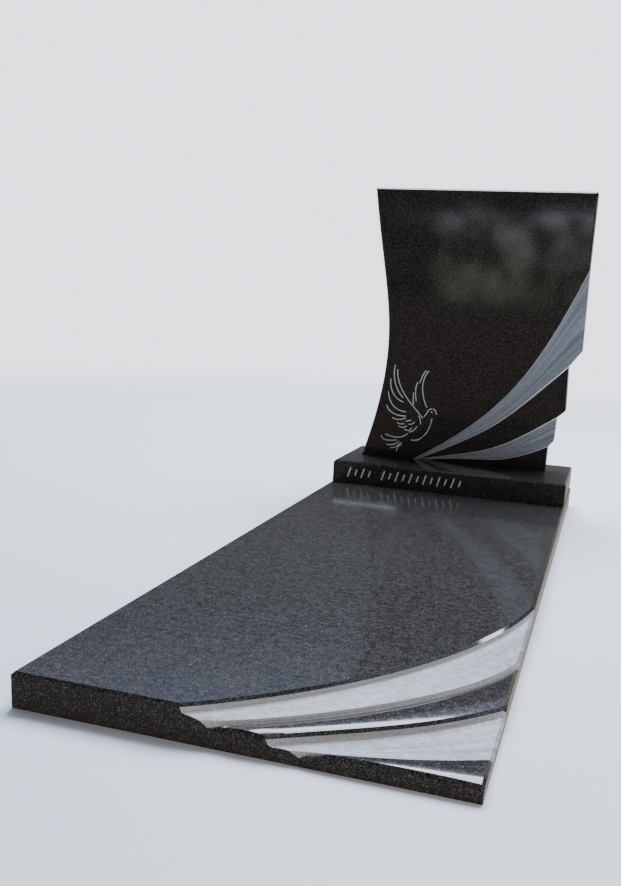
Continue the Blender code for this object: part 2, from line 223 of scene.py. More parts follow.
def dust_and_skylight_film():
    """A group that lays the film over a colour and puts out how thick it lies."""
    tree, given = new_group(
        "Dust film", "ShaderNodeTree",
        {"Vector": VECTOR, "Color": COLOUR, "Dust": COLOUR, "Amount": FLOAT},
        {"Color": COLOUR, "Film": FLOAT},
    )
    normal = node(tree, "ShaderNodeNewGeometry", (-900, -300)).outputs["Normal"]
    facing = node(tree, "ShaderNodeSeparateXYZ", (-700, -300), {0: normal})
    upward = remap(tree, (-500, -300), facing.outputs["Z"], FACING_UP)
    wiped = node(tree, "ShaderNodeMapping", (-700, 300), {
        "Vector": given["Vector"], "Rotation": (0, 0, WIPED_TURN), "Scale": WIPED_SCALE,
    })
    streaks = noise(tree, (-500, 300), wiped.outputs["Vector"], scale=1, detail=5)
    clouds = noise(tree, (-500, -600), given["Vector"], scale=75, detail=4, roughness=0.6)
    both = maths(tree, (-300, 0), "MULTIPLY_ADD", streaks, STREAK_SHARE, clouds)
    uneven = remap(tree, (-100, 0), both, FILM_SPAN, to=FILM_THICKNESS)
    laid = maths(tree, (100, -200), "MULTIPLY", upward, uneven)
    film = maths(tree, (300, -200), "MULTIPLY", laid, given["Amount"])
    colour = mixed_colour(tree, (500, 100), film, given["Color"], given["Dust"])
    node(tree, "NodeGroupOutput", (700, 0), {"Color": colour, "Film": film})
    return tree


DUST_AND_SKYLIGHT_FILM = dust_and_skylight_film()


def dusted_and_skylit(tree, shader, colour, dust_and_skylight, amount):
    """Lays the film on a finish, between its colour and its shader. Returns its thickness."""
    film = node(tree, "ShaderNodeGroup", (-100, 200), {
        "Vector": tree.nodes["Texture Coordinate"].outputs["Object"], "Color": colour,
        "Dust": (*dust_and_skylight, 1), "Amount": amount,
    }, node_tree=DUST_AND_SKYLIGHT_FILM).outputs
    feed(tree, shader, {"Base Color": film["Color"]})
    return film["Film"]


# %% [markdown]
# Polishing closes the surface until it mirrors the sky, and the stone looks black. The lying
# stones mirror a little less sharply where their film of dust is thicker. The upright tablet has
# a polish of its own, as smooth as glass and without the film. Its flecks are darker and warmer,
# which is painted shade for the upright face, which gets less of the light from above.

# %% Polished granite
POLISHED, POLISHED_UPRIGHT_PAINTED_SHADE = "polished_granite", "polished_tablet"
BLACK = (0.006, 0.0055, 0.005)
THICK_FILM = 0.06
FILM_ROUGHNESS = (0.08, 0.17)


def polished_granite():
    tree, shader, colour = granite(
        POLISHED, BLACK, pale=(0.103, 0.099, 0.097), roughness=0.10, bump=0.06
    )
    film = dusted_and_skylit(tree, shader, colour, dust_and_skylight=(0.33, 0.32, 0.35), amount=0.03)
    rough = remap(tree, (-300, 0), film, (0, THICK_FILM), to=FILM_ROUGHNESS)
    feed(tree, shader, {"Roughness": rough})


polished_granite()
# The tablet's copy has darker, warmer flecks: painted shade for the upright face. Its low roughness
# and fine relief are real.
granite(POLISHED_UPRIGHT_PAINTED_SHADE, BLACK, pale=(0.070, 0.060, 0.052), roughness=0.04, bump=0.006)

# %% [markdown]
# A grinding wheel leaves the bands open and pale, with fine streaks along the sweep. The streaks
# follow the carving's own UV map, which runs along the sweep and is stretched there. The risers
# that stand over the bands have the same streaks in a paler, neutral copy of the colour, which is
# painted light on these walls. The engraved lines are sandblasted, paler still and without
# streaks, and the plinth's are filled with white paint.

# %% Dull, engraved and painted granite
DULL, RISER_PAINTED_LIGHT = "dull_granite", "dull_riser"
ENGRAVED, PAINTED = "engraved_granite", "white_paint"
SWEEP_MAP = "Sweep"
STREAK_SCALE = (2.5, 9, 1)
STREAK_SPAN, STREAK_SHADE = (0.3, 0.7), (0.5, 1.16)


def dull_granite(name, dark, pale):
    tree, shader, colour = granite(name, dark, pale, roughness=0.5, bump=0.2)
    along = node(tree, "ShaderNodeUVMap", (-1100, -500), uv_map=SWEEP_MAP)
    stretch = node(tree, "ShaderNodeMapping", (-900, -500), {
        "Vector": along.outputs["UV"], "Scale": STREAK_SCALE,
    })
    streaks = noise(tree, (-700, -500), stretch.outputs["Vector"], scale=1, detail=3)
    shade = remap(tree, (-500, -500), streaks, STREAK_SPAN, to=STREAK_SHADE)
    toned = scaled(tree, (-300, 100), colour, shade)
    # This pale bluish film is partly dust and partly painted skylight on the bands' up-facing tops.
    dusted_and_skylit(tree, shader, toned, dust_and_skylight=(0.72, 0.79, 0.92), amount=0.10)


dull_granite(DULL, dark=(0.215, 0.23, 0.265), pale=(0.47, 0.495, 0.54))
# The riser is a paler, neutral copy of the dull finish: painted light on the walls of the steps,
# coves and troughs.
dull_granite(RISER_PAINTED_LIGHT, dark=(0.34, 0.34, 0.35), pale=(0.66, 0.66, 0.67))
granite(ENGRAVED, dark=(0.5, 0.49, 0.47), pale=(0.8, 0.79, 0.77), roughness=0.7, bump=0.2)
granite(PAINTED, (0.75, 0.75, 0.74), (0.8, 0.8, 0.8), roughness=0.4, bump=0.3, flecks=0.2)

# %% [markdown]
# ## The sweep lines
#
# A sweep line is the upper edge of a band. It leaves the foot edge at one angle and arrives at
# the side at another, which is what a Bezier curve with two handles does. It could also be an
# arc, but the real lines bend more at one end than at the other. The numbers are those of the
# solids, so the finer curves here lie on theirs.

# %% The sweep lines
ARRIS = 0.005
STEP_ARRIS = 0.0025
DRAFT = 0.001
CLEAR = 0.02
SWEEP_ROWS = 110
Sweep = namedtuple("Sweep", "start heading end arrival reach")
Clear = namedtuple("Clear", "side foot")
SLAB_SWEEPS = (
    Sweep(start=0.463, heading=36, end=0.728, arrival=79, reach=0.34),
    Sweep(start=0.408, heading=28, end=0.440, arrival=72, reach=0.29),
    Sweep(start=0.323, heading=33, end=0.256, arrival=51, reach=0.38),
    Sweep(start=0.250, heading=12, end=0.084, arrival=27, reach=0.36),
)
TABLET_SWEEPS = (
    Sweep(start=-0.147, heading=31.6, end=(0.3600, 0.641), arrival=68.3, reach=0.42),
    Sweep(start=-0.130, heading=26.5, end=(0.3310, 0.343), arrival=45.5, reach=0.49),
    Sweep(start=-0.121, heading=12.5, end=(0.3120, 0.178), arrival=34.8, reach=0.51),
    Sweep(start=-0.100, heading=8, end=(0.2945, 0.081), arrival=27, reach=0.49),
)
SLAB_CLEAR = Clear(side=CLEAR, foot=CLEAR)
TABLET_CLEAR = Clear(side=0.05, foot=0.002)


def heading_to(degrees):
    return Vector((cos(radians(degrees)), sin(radians(degrees))))


def sweep_line(start, end, sweep, clear):
    """(points, slopes) from before the foot edge to past the far end."""
    leaving, arriving = heading_to(sweep.heading), heading_to(sweep.arrival)
    first = start + leaving * (ARRIS / leaving.y)
    last = end - arriving * (ARRIS / arriving.x)
    reach = (last - first).length * sweep.reach
    bend = interpolate_bezier(
        first, first + leaving * reach, last - arriving * reach, last, SWEEP_ROWS
    )
    before = start - leaving * (clear.foot / leaving.y)
    after = end + arriving * (clear.side / arriving.x)
    points = [before, start, *[Vector(point) for point in bend], end, after]
    inner = [(b - a).normalized() for a, b in zip(points[2:], points[4:-1])]
    slopes = [leaving] * 3 + inner[:-1] + [arriving] * 3
    return points, slopes


def corner_line(corner, inset, clear):
    """The lower right corner as a sweep line of no length, with its bevels' own corner."""
    outside = corner + Vector((clear.side, -clear.foot))
    inner = corner + Vector((-inset, inset))
    rows = [outside, corner, *[inner] * SWEEP_ROWS, corner, outside]
    return rows, [heading_to(45)] * len(rows)


print("sweep lines:", len(SLAB_SWEEPS), "on the slab,", len(TABLET_SWEEPS), "on the tablet")

# %% [markdown]
# ## The carving
#
# The mason cuts away all the stone above the bands. The same can be done here, with a cutter
# whose underside is a loft: one cross-section, drawn as a row of stations, is carried along the
# sweep lines. A station keeps to one line at an offset and a depth. The strip from it to the
# next has a finish and a number of steps, and it may be no plane: a polished band rises to a
# crown, which catches the sky along one side, and a riser ends in a small hollow corner, as a
# round wheel leaves it. A station's foot and side are 1 where the strip drops with the arris as
# it runs out there, and 0 where it runs on level. At the foot edge the polished bands also roll
# down a little.

# %% How deep the cutter goes
Station = namedtuple("Station", "line offset depth finish foot side steps rise hollow", defaults=(0,))
CROWN_SHAPE = 2.4
ROLL_DROP = 0.0028
ROLL_REACH = 0.024
MOST_PAST, MOST_BEFORE = 0.3, 0.5


def station_point(lines, station, row, turn):
    """Where a station lies in one row of the carving, which runs in the direction turn."""
    here = lines[station.line][0][row]
    slope = lines[station.line][1][row]
    shift = station.offset / abs(turn.cross(slope))
    if station.offset > 0:
        shift = min(shift, (lines[station.line + 1][0][row] - here).length * MOST_PAST)
    elif station.offset < 0 and station.line > 0:
        shift = max(shift, (lines[station.line - 1][0][row] - here).length * -MOST_BEFORE)
    return here + turn * shift


def strip_depth(station, ahead, share, drops, up):
    """The depth at a share of the way from one station to the one ahead."""
    depth = station.depth + (ahead.depth - station.depth) * share
    depth += drops[0] + (drops[1] - drops[0]) * share
    depth -= station.rise * (1 - abs(2 * share - 1) ** CROWN_SHAPE)
    depth += station.hollow * (sqrt(share * (2 - share)) - share)
    return depth + station.foot * ROLL_DROP * max(0, 1 - max(up, 0) / ROLL_REACH) ** 2


print("station:", Station._fields)

# %% [markdown]
# A solid is built in memory, and then becomes a mesh with its finishes in its material slots.
# Its object stays at the origin, with the place in the mesh, so that the grain of all the
# stones reads the same coordinates.

# %% Put a solid in the scene
def in_scene(name, data):
    made = bpy.data.objects.new(name, data)
    bpy.context.scene.collection.objects.link(made)
    return made


def stone_object(name, solid, finishes):
    bmesh.ops.recalc_face_normals(solid, faces=solid.faces)
    mesh = bpy.data.meshes.new(name)
    solid.to_mesh(mesh)
    solid.free()
    for finish in finishes:
        mesh.materials.append(bpy.data.materials[finish])
    return in_scene(name, mesh)


# %% [markdown]
# Each row of the loft is joined to the next, and the finish and the UV map are set face by face.
# Where the bands meet in the corner, points fall together and the faces become triangles. The
# open rim is then pulled up out of the stone and closed, because a boolean needs a closed cutter.

# %% Join the rows and close the cutter
def join_rows(solid, grid, sweep_map, finishes):
    for near, far in zip(grid, grid[1:]):
        for k in range(len(near) - 1):
            corners = (near[k], near[k + 1], far[k + 1], far[k])
            ring = {corner[0]: corner[1] for corner in corners}
            if len(ring) < 3:
                continue
            face = solid.faces.new(ring)
            face.material_index = finishes.index(near[k][2])
            for loop in face.loops:
                loop[sweep_map].uv = ring[loop.vert]


def close_above(solid, place):
    """Pulls the open rim out of the stone to one level, and fills it there."""
    rim = [edge for edge in solid.edges if edge.is_boundary]
    walls = bmesh.ops.extrude_edge_only(solid, edges=rim)["geom"]
    outward = place(0, 0, -1) - place(0, 0, 0)
    level = outward.dot(place(0, 0, -2 * CLEAR))
    for vertex in walls:
        if isinstance(vertex, bmesh.types.BMVert):
            vertex.co += outward * (level - outward.dot(vertex.co))
    bmesh.ops.holes_fill(solid, edges=[edge for edge in solid.edges if edge.is_boundary])


# %% [markdown]
# The rows turn from lying along the foot edge to lying along the side, as the bands do. Beyond
# the arris there are two more rows at each end, one on the stone's edge and one clear of it, so
# that the cutter reaches out of the stone.

# %% The carving's cutter
END_ROWS = 2
KEY_DIGITS = 7


def carving(name, lines, stations, clear, place, finishes):
    """The row of stations, lofted along the sweep lines and closed far above the bands."""
    last = len(lines[0][0]) - 1
    foot_drop = {0: clear.foot + ARRIS, 1: ARRIS}
    side_drop = {last: clear.side + ARRIS, last - 1: ARRIS}
    solid = bmesh.new()
    sweep_map = solid.loops.layers.uv.new(SWEEP_MAP)
    made, grid = {}, []
    run = 0
    for row in range(last + 1):
        bend = min(max((row - END_ROWS) / (last - 2 * END_ROWS), 0), 1) * pi / 2
        turn = Vector((cos(bend), -sin(bend)))
        flat = [station_point(lines, station, row, turn) for station in stations]
        drops = [station.foot * foot_drop.get(row, 0) + station.side * side_drop.get(row, 0)
                 for station in stations]
        if row:
            run += (lines[1][0][row] - lines[1][0][row - 1]).length
        cells = []
        for k, station in enumerate(stations):
            ahead = min(k + 1, len(stations) - 1)
            for step in range(station.steps):
                share = step / station.steps
                point = flat[k].lerp(flat[ahead], share)
                ends = drops[k], drops[ahead]
                at = place(*point, strip_depth(station, stations[ahead], share, ends, point.y))
                key = tuple(round(value, KEY_DIGITS) for value in at)
                if key not in made:
                    made[key] = solid.verts.new(at)
                cells.append((made[key], (run, k + share), station.finish))
        grid.append(cells)
    join_rows(solid, grid, sweep_map, finishes)
    close_above(solid, place)
    print(f"{name}: {len(grid)} rows of {len(grid[0])} points")
    return stone_object(name, solid, finishes)


# %% [markdown]
# A stone is cut by booleans, and the result is kept as a plain mesh. The exact solver is slower
# than the fast one, but it keeps thin walls and lets strokes cross. Faces that meet at a small
# angle are shaded as one curve, and the rest keep their sharp edges.

# %% Cut a stone and keep the result
SMOOTH_ANGLE = 22
SAME_POINT = 1e-6


def cut(stone, *cutters):
    for cutter in cutters:
        boolean = stone.modifiers.new(cutter.name, "BOOLEAN")
        boolean.operation = "DIFFERENCE"
        boolean.solver = "EXACT"
        boolean.use_self = True
        boolean.material_mode = "TRANSFER"
        boolean.object = cutter
    graph = bpy.context.evaluated_depsgraph_get()
    mesh = bpy.data.meshes.new_from_object(stone.evaluated_get(graph))
    mesh.name = stone.name
    stone.modifiers.clear()
    stone.data = mesh
    for cutter in cutters:
        bpy.data.objects.remove(cutter, do_unlink=True)


def dress(stone, node_name):
    """Smooths the shading and ties the stone to the CAD node that it stands for."""
    mesh = stone.data
    tidy = bmesh.new()
    tidy.from_mesh(mesh)
    bmesh.ops.remove_doubles(tidy, verts=tidy.verts, dist=SAME_POINT)
    tidy.to_mesh(mesh)
    tidy.free()
    mesh.shade_smooth()
    mesh.set_sharp_from_angle(angle=radians(SMOOTH_ANGLE))
    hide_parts(node_name)
    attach(stone, "root")
    faces = sum(len(face.vertices) - 2 for face in mesh.polygons)
    print(f"{stone.name}: {faces} triangles, materials {[m.name for m in mesh.materials]}")


def block(name, low, high, bevelled):
    """A box between two corners, with its upper edges bevelled by the width that is given."""
    solid = bmesh.new()
    bmesh.ops.create_cube(solid, size=1)
    bmesh.ops.scale(solid, vec=high - low, verts=solid.verts)
    bmesh.ops.translate(solid, vec=(low + high) / 2, verts=solid.verts)
    middle = (low.z + high.z) / 2
    edges = [edge for edge in solid.edges if all(end.co.z > middle for end in edge.verts)]
    bmesh.ops.bevel(solid, geom=edges, offset=bevelled, segments=1, affect="EDGES")
    return stone_object(name, solid, [POLISHED])


# %% [markdown]
# ## The cover slab
#
# The slab is one plate with a flat bevel, the arris, round its upper edge. The depths below are
# those of the bands under its top, in their order from the polished field to the corner. A riser
# with a hollow foot, the cove, leads down to each dull band, and its finish is painted paler than
# the bands, as painted light on these walls. Beside each dull band runs a narrow trough, from
# which the next polished band rises.

# %% The cover slab
FIRST_DULL_HIGH = 0.015
FIRST_DULL_LOW = 0.021
FIRST_POLISHED = 0.0246
SECOND_DULL = 0.040
SECOND_POLISHED = 0.033
CROWN = 0.0015
FIRST_RISE, SECOND_RISE = 2.4 * CROWN, 1.6 * CROWN
DULL_RISE = 0.0006
TROUGH_DROP = 0.0085
TROUGH_WIDTH = 0.0095
TROUGH_DEEPEST = 0.45
TROUGH_RISE = 0.0005
COVE = 0.006


def slab_place(across, up, depth):
    return Vector((slab_low.x + across, slab_low.y + up, slab_high.z - depth))


def cover_slab():
    slab = block("cover_slab_stone", slab_low, slab_high, ARRIS)
    lines = [
        sweep_line(
            Vector((SLAB_WIDTH - sweep.start, 0)), Vector((SLAB_WIDTH, sweep.end)), sweep, SLAB_CLEAR
        )
        for sweep in SLAB_SWEEPS
    ]
    lines.append(corner_line(Vector((SLAB_WIDTH, 0)), ARRIS, SLAB_CLEAR))
    trough = TROUGH_WIDTH * TROUGH_DEEPEST
    stations = (
        Station(0, -ARRIS - CLEAR, -CLEAR, POLISHED, 0, 0, 1, 0),
        Station(0, 0, ARRIS, RISER_PAINTED_LIGHT, 0, 0, 1, 0),
        Station(0, DRAFT, FIRST_DULL_HIGH - COVE, RISER_PAINTED_LIGHT, 0, 1, 8, 0, COVE),
        Station(0, DRAFT + COVE, FIRST_DULL_HIGH, DULL, 0, 1, 6, DULL_RISE),
        Station(1, -TROUGH_WIDTH, FIRST_DULL_LOW, RISER_PAINTED_LIGHT, 0, 1, 3, 0),
        Station(1, -trough, FIRST_DULL_LOW + TROUGH_DROP, POLISHED, 0, 1, 3, TROUGH_RISE),
        Station(1, 0, FIRST_POLISHED + CROWN, POLISHED, 1, 1, 16, FIRST_RISE),
        Station(2, -ARRIS, FIRST_POLISHED, POLISHED, 1, 1, 1, 0),
        Station(2, 0, FIRST_POLISHED + ARRIS, RISER_PAINTED_LIGHT, 0, 1, 1, 0),
        Station(2, DRAFT, SECOND_DULL - COVE, RISER_PAINTED_LIGHT, 0, 1, 8, 0, COVE),
        Station(2, DRAFT + COVE, SECOND_DULL, DULL, 0, 1, 6, DULL_RISE),
        Station(3, -TROUGH_WIDTH, SECOND_DULL, RISER_PAINTED_LIGHT, 0, 1, 3, 0),
        Station(3, -trough, SECOND_DULL + TROUGH_DROP, POLISHED, 0, 1, 3, TROUGH_RISE),
        Station(3, 0, SECOND_POLISHED + CROWN, POLISHED, 1, 1, 14, SECOND_RISE),
        Station(4, 0, SECOND_POLISHED, POLISHED, 1, 1, 1, 0),
    )
    finishes = [POLISHED, DULL, RISER_PAINTED_LIGHT]
    cut(slab, carving("slab_carving", lines, stations, SLAB_CLEAR, slab_place, finishes))
    dress(slab, "cover_slab")


cover_slab()

# %% [markdown]
# ## The engraving
#
# A dove and a row of short strokes are cut as shallow V-shaped grooves, each of which tapers to
# a point at both ends. Every groove follows a path, so Geometry Nodes make them: the curves are
# resampled, their radius swells and falls along the way as a sine does, and a triangle is swept
# along them. The triangle stands half as far out of the stone as it goes in, so it is wider
# there than the groove: the wedge's spread is what makes Width the width at the surface.

# %% The tree that turns curves into grooves
GROOVE_POINTS = 21
SWELL_FROM, SWELL_TO = 0.07, 0.93
SWELL_FULLNESS = 0.6
WEDGE_SPREAD = sin(pi / 3)


def grooves_tree():
    tree, given = new_group(
        "Tapered grooves", "GeometryNodeTree",
        {"Curves": GEOMETRY, "Width": FLOAT, "Depth": FLOAT, "Finish": MATERIAL},
        {"Grooves": GEOMETRY},
    )
    even = node(tree, "GeometryNodeResampleCurve", (-500, 200), {
        "Curve": given["Curves"], "Count": GROOVE_POINTS,
    })
    along = node(tree, "GeometryNodeSplineParameter", (-900, -200))
    half_wave = (SWELL_FROM * pi, SWELL_TO * pi)
    inset = remap(tree, (-700, -200), along.outputs["Factor"], (0, 1), to=half_wave)
    wave = maths(tree, (-500, -200), "SINE", inset)
    swell = maths(tree, (-300, -200), "POWER", wave, SWELL_FULLNESS)
    radius = node(tree, "GeometryNodeSetCurveRadius", (-100, 200), {
        "Curve": even.outputs["Curve"], "Radius": swell,
    })
    wedge = node(tree, "GeometryNodeCurvePrimitiveCircle", (-300, -400), {
        "Resolution": 3, "Radius": 1,
    })
    point_down = node(tree, "GeometryNodeTransform", (-100, -400), {
        "Geometry": wedge.outputs["Curve"], "Rotation": (0, 0, -pi / 2),
    })
    spread = maths(tree, (-500, -600), "MULTIPLY", given["Width"], WEDGE_SPREAD)
    section = node(tree, "ShaderNodeCombineXYZ", (-300, -600), {
        "X": spread, "Y": given["Depth"], "Z": 1,
    })
    sized = node(tree, "GeometryNodeTransform", (100, -400), {
        "Geometry": point_down.outputs["Geometry"], "Scale": section.outputs["Vector"],
    })
    swept = node(tree, "GeometryNodeCurveToMesh", (300, 0), {
        "Curve": radius.outputs["Curve"], "Profile Curve": sized.outputs["Geometry"],
        "Fill Caps": True,
    })
    real = node(tree, "GeometryNodeRealizeInstances", (500, 0), {"Geometry": swept.outputs["Mesh"]})
    finish = node(tree, "GeometryNodeSetMaterial", (700, 0), {
        "Geometry": real.outputs["Geometry"], "Material": given["Finish"],
    })
    node(tree, "NodeGroupOutput", (1000, 0), {"Grooves": finish.outputs["Geometry"]})
    return tree


GROOVES = grooves_tree()

# %% [markdown]
# A tree runs as a modifier, whose inputs are set by the identifiers of their sockets. The
# grooves are drawn flat on the ground and then turned up onto the stone's face.

# %% Run a tree and place its grooves
GROOVE_DEPTH = 0.0015
SAME_GROOVE_POINT = 1e-7


def set_inputs(modifier, **values):
    named = {item.name: item.identifier for item in modifier.node_group.interface.items_tree
             if item.item_type == "SOCKET" and item.in_out == "INPUT"}
    for name, value in values.items():
        modifier[named[name.replace("_", " ")]] = value


def grooves_cutter(source, to_stone, finish, tree=GROOVES, **values):
    """Runs a tree on an object and places the grooves on the stone's face."""
    modifier = source.modifiers.new("Grooves", "NODES")
    modifier.node_group = tree
    set_inputs(modifier, Finish=bpy.data.materials[finish], **values)
    graph = bpy.context.evaluated_depsgraph_get()
    mesh = bpy.data.meshes.new_from_object(source.evaluated_get(graph))
    bpy.data.objects.remove(source, do_unlink=True)
    mesh.transform(to_stone)
    solid = bmesh.new()
    solid.from_mesh(mesh)
    bmesh.ops.remove_doubles(solid, verts=solid.verts, dist=SAME_GROOVE_POINT)
    bmesh.ops.recalc_face_normals(solid, faces=solid.faces)
    solid.to_mesh(mesh)
    solid.free()
    print(f"grooves in {finish}: {len(mesh.polygons)} faces")
    return in_scene("grooves", mesh)


def upright(front, foot):
    """Turns a drawing on the ground into one on an upright face that looks to -Y."""
    return Matrix.Translation((0, front, foot)) @ Matrix.Rotation(pi / 2, 4, "X")


# %% [markdown]
# ## The plinth
#
# The plinth is a plain block. Its front carries a row of slanted strokes, tall and short by
# turns, in two groups. They repeat, so a second tree sets one short line at each point of a row,
# leaves one place empty between the groups, and hands the lines to the first tree.

# %% The tree that makes a row of strokes
SHORT_STROKE = 0.64


def row_tree():
    tree, given = new_group(
        "Row of strokes", "GeometryNodeTree",
        {"Geometry": GEOMETRY, "Places": INTEGER, "Empty place": INTEGER,
         **dict.fromkeys(("Pitch", "Height", "Lean", "Width", "Depth"), FLOAT), "Finish": MATERIAL},
        {"Strokes": GEOMETRY},
    )
    step = node(tree, "ShaderNodeCombineXYZ", (-700, 200), {"X": given["Pitch"]})
    row = node(tree, "GeometryNodeMeshLine", (-500, 300), {
        "Count": given["Places"], "Offset": step.outputs["Vector"],
    })
    index = node(tree, "GeometryNodeInputIndex", (-700, 0)).outputs["Index"]
    empty = node(tree, "FunctionNodeCompare", (-500, 0), {
        2: index, 3: given["Empty place"],
    }, data_type="INT", operation="EQUAL")
    gap = node(tree, "GeometryNodeDeleteGeometry", (-300, 300), {
        "Geometry": row.outputs["Mesh"], "Selection": empty.outputs["Result"],
    }, domain="POINT")
    top = node(tree, "ShaderNodeCombineXYZ", (-700, -300), {
        "X": given["Lean"], "Y": given["Height"],
    }).outputs["Vector"]
    stroke = node(tree, "GeometryNodeCurvePrimitiveLine", (-300, -300), {
        "End": scaled(tree, (-500, -300), top, 0.5), "Start": scaled(tree, (-500, -500), top, -0.5),
    })
    odd = maths(tree, (-500, -700), "MODULO", index, 2)
    placed = node(tree, "GeometryNodeInstanceOnPoints", (0, 200), {
        "Points": gap.outputs["Geometry"], "Instance": stroke.outputs["Curve"],
        "Scale": remap(tree, (-300, -700), odd, (0, 1), to=(1, SHORT_STROKE)),
    })
    real = node(tree, "GeometryNodeRealizeInstances", (200, 200), {
        "Geometry": placed.outputs["Instances"],
    })
    grooves = node(tree, "GeometryNodeGroup", (500, 0), {
        "Curves": real.outputs["Geometry"], "Width": given["Width"], "Depth": given["Depth"],
        "Finish": given["Finish"],
    }, node_tree=GROOVES)
    finish = node(tree, "GeometryNodeSetMaterial", (800, 0), {
        "Geometry": grooves.outputs["Grooves"], "Material": given["Finish"],
    })
    node(tree, "NodeGroupOutput", (1100, 0), {"Strokes": finish.outputs["Geometry"]})
    return tree


# %% [markdown]
# The block gets its arris, and the row is cut into its front and painted. The numbers say where
# the row starts, how high its middle lies and how many strokes each of its two groups has.

# %% The plinth
ROW_LEFT = -0.332
ROW_MIDDLE = 0.036
ROW_HEIGHT = 0.032
ROW_PITCH = 0.023
ROW_GROUPS = (4, 12)
ROW_LEAN = 0.009
ROW_STROKE = 0.0045


def plinth():
    stone = block("plinth_stone", plinth_low, plinth_high, ARRIS)
    to_face = upright(plinth_low.y, plinth_low.z) @ Matrix.Translation(
        (ROW_LEFT + ROW_PITCH / 2, ROW_MIDDLE, 0)
    )
    strokes = grooves_cutter(
        in_scene("row", bpy.data.meshes.new("row")), to_face, PAINTED, tree=row_tree(),
        Places=sum(ROW_GROUPS) + 1, Empty_place=ROW_GROUPS[0], Pitch=ROW_PITCH,
        Height=ROW_HEIGHT, Lean=ROW_LEAN, Width=ROW_STROKE, Depth=GROOVE_DEPTH,
    )
    cut(stone, strokes)
    dress(stone, "plinth")


plinth()

# %% [markdown]
# ## The tablet
#
# The tablet's left side is drawn in to a waist and leans out again to its top. Its right-hand
# side is notched where each band runs out in a tip. The outline is a closed polygon, extruded,
# with the arris only on the edges of the front: a bevel modifier would round every edge.

# %% The tablet's outline
TOP_LEFT = 0.335
TOP_RIGHT = 0.357
WAIST_LEFT = 0.259
WAIST_HEIGHT = 0.375
FOOT_LEFT = 0.324
FOOT_RIGHT = 0.295
TOP_LEFT_LEAN = 9
FOOT_LEFT_LEAN = 17
TOP_REACH, WAIST_REACH = 0.46, 0.3
FOOT_REACH = WAIST_HEIGHT / 3
TABLET_TIPS = ((0.367, 0.395), (0.338, 0.204), (0.311, 0.101))
TABLET_STEP = 0.010
SIDE_STEPS = 28


def tablet_outline():
    """The outline as points (across, up), from the top left down and round to the top right."""
    upper = TABLET_HEIGHT - WAIST_HEIGHT
    top_reach = upper * TOP_REACH
    top_lean = top_reach * tan(radians(TOP_LEFT_LEAN))
    foot_lean = FOOT_REACH * tan(radians(FOOT_LEFT_LEAN))
    waist = Vector((-WAIST_LEFT, WAIST_HEIGHT))
    above = interpolate_bezier(
        Vector((-TOP_LEFT, TABLET_HEIGHT)),
        Vector((top_lean - TOP_LEFT, TABLET_HEIGHT - top_reach)),
        waist + Vector((0, upper * WAIST_REACH)), waist, SIDE_STEPS,
    )
    below = interpolate_bezier(
        waist, waist - Vector((0, FOOT_REACH)), Vector((foot_lean - FOOT_LEFT, FOOT_REACH)),
        Vector((-FOOT_LEFT, 0)), SIDE_STEPS,
    )
    points = [*above, *below[1:], Vector((FOOT_RIGHT, 0))]
    ends = [Vector(sweep.end) for sweep in TABLET_SWEEPS]
    for end, tip in zip(ends[:0:-1], TABLET_TIPS[::-1]):
        points += [end, Vector(tip)]
    return points + [ends[0], Vector((TOP_RIGHT, TABLET_HEIGHT))]


def tablet_place(across, up, depth):
    return Vector((across, tablet_low.y + depth, tablet_low.z + up))


def tablet_blank():
    solid = bmesh.new()
    outline = tablet_outline()
    front = [solid.verts.new(tablet_place(*point, 0)) for point in outline]
    back = [solid.verts.new(tablet_place(*point, TABLET_THICKNESS)) for point in outline]
    solid.faces.new(front)
    solid.faces.new(back[::-1])
    for k in range(len(front)):
        solid.faces.new((front[k - 1], front[k], back[k], back[k - 1]))
    bmesh.ops.recalc_face_normals(solid, faces=solid.faces)
    on_front = tablet_low.y + ARRIS / 2
    above_foot = tablet_low.z + ARRIS
    edges = [edge for edge in solid.edges
             if all(end.co.y < on_front and end.co.z > above_foot for end in edge.verts)]
    bmesh.ops.bevel(solid, geom=edges, offset=ARRIS, segments=1, affect="EDGES")
    print("tablet outline:", len(outline), "points,", len(edges), "bevelled edges")
    return stone_object("tablet_stone", solid, [POLISHED_UPRIGHT_PAINTED_SHADE])


# %% [markdown]
# The dove is drawn on a grid of a hundred squares to its height, one Bezier curve for each
# stroke: the near wing, the far wing, the tail, and the head and breast.

# %% The dove
DOVE_LEFT = -0.260
DOVE_FOOT = 0.023
DOVE_HEIGHT = 0.289
DOVE_SQUARES = 100
DOVE_STROKE = 0.0034
DOVE_NEAR_WING = (
    ((14, 95), (15, 69), (37, 55), (48, 41)),
    ((11, 100), (9, 89), (11, 74), (23, 63)),
    ((7, 84), (6, 74), (11, 61), (24, 58)),
    ((5, 69), (6, 60), (11, 47), (28, 47)),
    ((4, 53), (7, 46), (14, 41), (28, 42)),
    ((12, 39), (15, 37), (22, 36), (28, 40)),
    ((18, 34), (20, 32), (24, 32), (27, 33)),
    ((28, 36), (30, 36), (32, 37), (35, 38)),
    ((20, 30), (23, 28), (27, 28), (30, 31)),
    ((32, 33), (34, 32), (37, 34), (39, 36)),
    ((27, 27), (31, 24), (35, 26), (36, 29)),
    ((33, 24), (37, 24), (40, 27), (42, 31)),
)
DOVE_FAR_WING = (
    ((51, 96), (41, 85), (45, 65), (52, 54)),
    ((48, 96), (44, 93), (43, 86), (41, 81)),
    ((39, 82), (36, 76), (37, 67), (39, 60)),
    ((35, 70), (35, 64), (35, 60), (36, 56)),
)
